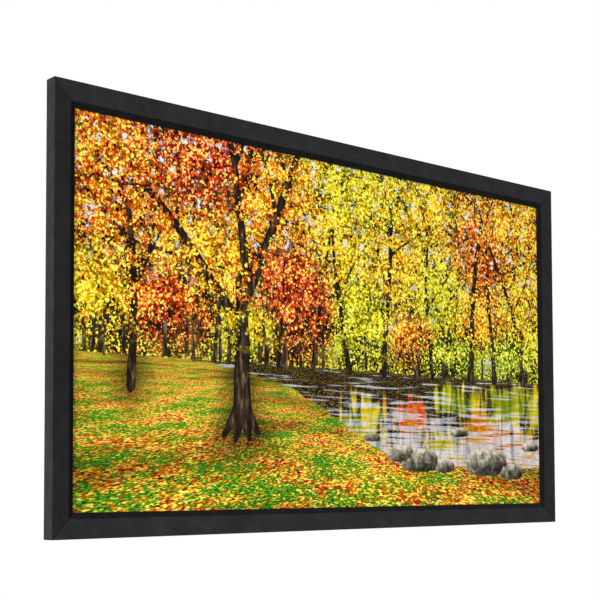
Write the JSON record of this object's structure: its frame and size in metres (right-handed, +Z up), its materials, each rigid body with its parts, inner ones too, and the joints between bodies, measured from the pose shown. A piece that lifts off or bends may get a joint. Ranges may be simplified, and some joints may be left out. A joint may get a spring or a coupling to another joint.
{
  "type": "fixed frame projector screen",
  "caption": "Wall-hung projection screen: a flat sheet stretched by clips and rods behind a mitred, velvet-wrapped aluminium frame, with a rear brace and hooked wall brackets.",
  "frame": {"origin": "middle of the whole screen's box, halfway between its front and the wall", "axes": "+X to the right seen from the front, +Z up, and the picture faces -Y with the wall behind at +Y"},
  "size_m": [2.374, 0.0514, 1.405],
  "materials": {
    "black_velvet": "self-adhesive black velvet flock",
    "mill_aluminium": "satin anodised extrusion with fine draw lines",
    "screen_vinyl": "matt white projection face on a black vinyl back",
    "fibreglass_rod": "drawn glass fibre rod, semi-matt",
    "black_nylon": "moulded, fine spark texture",
    "zinc_steel": "bright zinc plated pressing",
    "black_steel": "black powder coat"
  },
  "bodies": {
    "root": {"frame_bar_top": "mill_aluminium", "velvet_wrap_top": "black_velvet", "frame_bar_right": "mill_aluminium", "velvet_wrap_right": "black_velvet", "frame_bar_bottom": "mill_aluminium", "velvet_wrap_bottom": "black_velvet", "frame_bar_left": "mill_aluminium", "velvet_wrap_left": "black_velvet", "tension_rod_top": "fibreglass_rod", "tension_clip_top_1": "black_nylon", "tension_clip_top_2": "black_nylon", "tension_clip_top_3": "black_nylon", "tension_clip_top_4": "black_nylon", "tension_clip_top_5": "black_nylon", "tension_clip_top_6": "black_nylon", "tension_clip_top_7": "black_nylon", "tension_clip_top_8": "black_nylon", "tension_clip_top_9": "black_nylon", "tension_clip_top_10": "black_nylon", "tension_rod_right": "fibreglass_rod", "tension_clip_right_1": "black_nylon", "tension_clip_right_2": "black_nylon", "tension_clip_right_3": "black_nylon", "tension_clip_right_4": "black_nylon", "tension_clip_right_5": "black_nylon", "tension_clip_right_6": "black_nylon", "tension_rod_bottom": "fibreglass_rod", "tension_clip_bottom_1": "black_nylon", "tension_clip_bottom_2": "black_nylon", "tension_clip_bottom_3": "black_nylon", "tension_clip_bottom_4": "black_nylon", "tension_clip_bottom_5": "black_nylon", "tension_clip_bottom_6": "black_nylon", "tension_clip_bottom_7": "black_nylon", "tension_clip_bottom_8": "black_nylon", "tension_clip_bottom_9": "black_nylon", "tension_clip_bottom_10": "black_nylon", "tension_rod_left": "fibreglass_rod", "tension_clip_left_1": "black_nylon", "tension_clip_left_2": "black_nylon", "tension_clip_left_3": "black_nylon", "tension_clip_left_4": "black_nylon", "tension_clip_left_5": "black_nylon", "tension_clip_left_6": "black_nylon", "screen_sheet": "screen_vinyl", "corner_angle_top_left": "zinc_steel", "corner_angle_top_right": "zinc_steel", "corner_angle_bottom_right": "zinc_steel", "corner_angle_bottom_left": "zinc_steel", "centre_brace": "mill_aluminium", "brace_foot_top": "black_nylon", "brace_foot_bottom": "black_nylon", "wall_bracket_upper_left": "black_steel", "wall_bracket_upper_right": "black_steel", "wall_bracket_lower_left": "black_steel", "wall_bracket_lower_right": "black_steel"}
  },
  "joints": []
}
